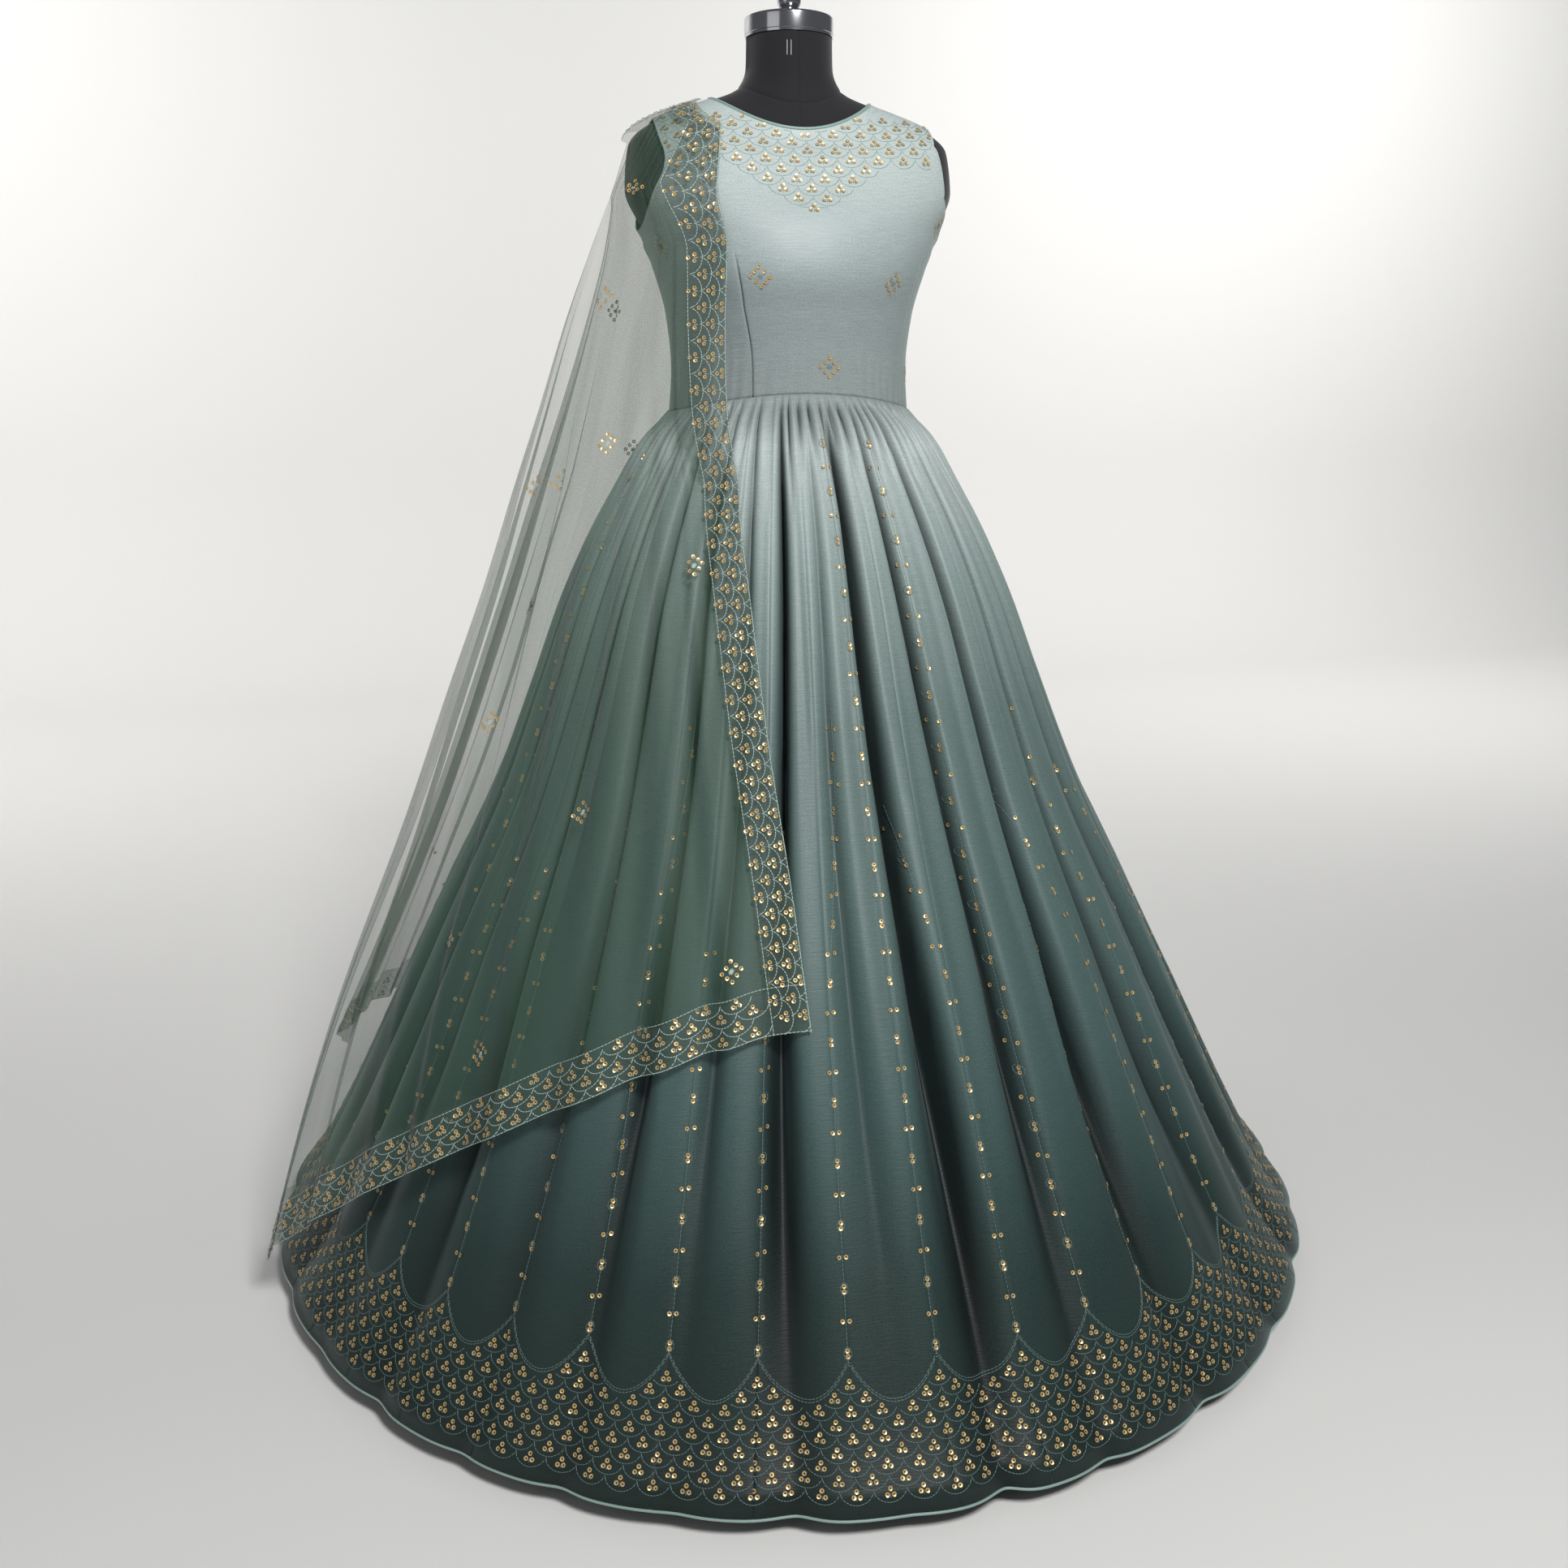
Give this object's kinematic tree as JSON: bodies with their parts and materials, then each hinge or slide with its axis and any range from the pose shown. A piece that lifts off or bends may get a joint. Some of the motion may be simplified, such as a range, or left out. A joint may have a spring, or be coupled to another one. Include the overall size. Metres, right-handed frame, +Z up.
{
  "type": "chiffon gown on a dress form with a stand",
  "caption": "Floor-length sleeveless gown with a flared panelled skirt and a sheer shoulder drape, on a limbless dress form with a round stand.",
  "frame": {"origin": "centre of the stand's round base, on the floor", "axes": "+Z up, the gown's front faces -Y, +X towards the wearer's left"},
  "size_m": [1.4097, 1.4317, 1.5783],
  "materials": {
    "gown_cloth": "silky, pale sage at the top to deep teal at the hem",
    "net": "sheer net",
    "net_border": "net with stitching and sequins",
    "piping": "satin",
    "form_cover": "matte jersey",
    "chrome": "polished"
  },
  "bodies": {
    "root": {"form_torso": "form_cover", "stand": "chrome", "neck_cap": "chrome", "bodice_front": "gown_cloth", "bodice_back_left": "gown_cloth", "bodice_back_right": "gown_cloth", "neck_binding": "piping", "skirt_kalis_01": "gown_cloth", "skirt_kalis_02": "gown_cloth", "skirt_kalis_03": "gown_cloth", "skirt_kalis_04": "gown_cloth", "skirt_kalis_05": "gown_cloth", "skirt_kalis_06": "gown_cloth", "skirt_kalis_07": "gown_cloth", "skirt_kalis_08": "gown_cloth", "skirt_kalis_09": "gown_cloth", "skirt_kalis_10": "gown_cloth", "skirt_kalis_11": "gown_cloth", "skirt_kalis_12": "gown_cloth", "skirt_kalis_13": "gown_cloth", "skirt_kalis_14": "gown_cloth", "hem_piping": "piping", "drape_net": "net", "drape_border_side": "net_border", "drape_border_front": "net_border", "drape_border_back": "net_border"}
  },
  "joints": []
}
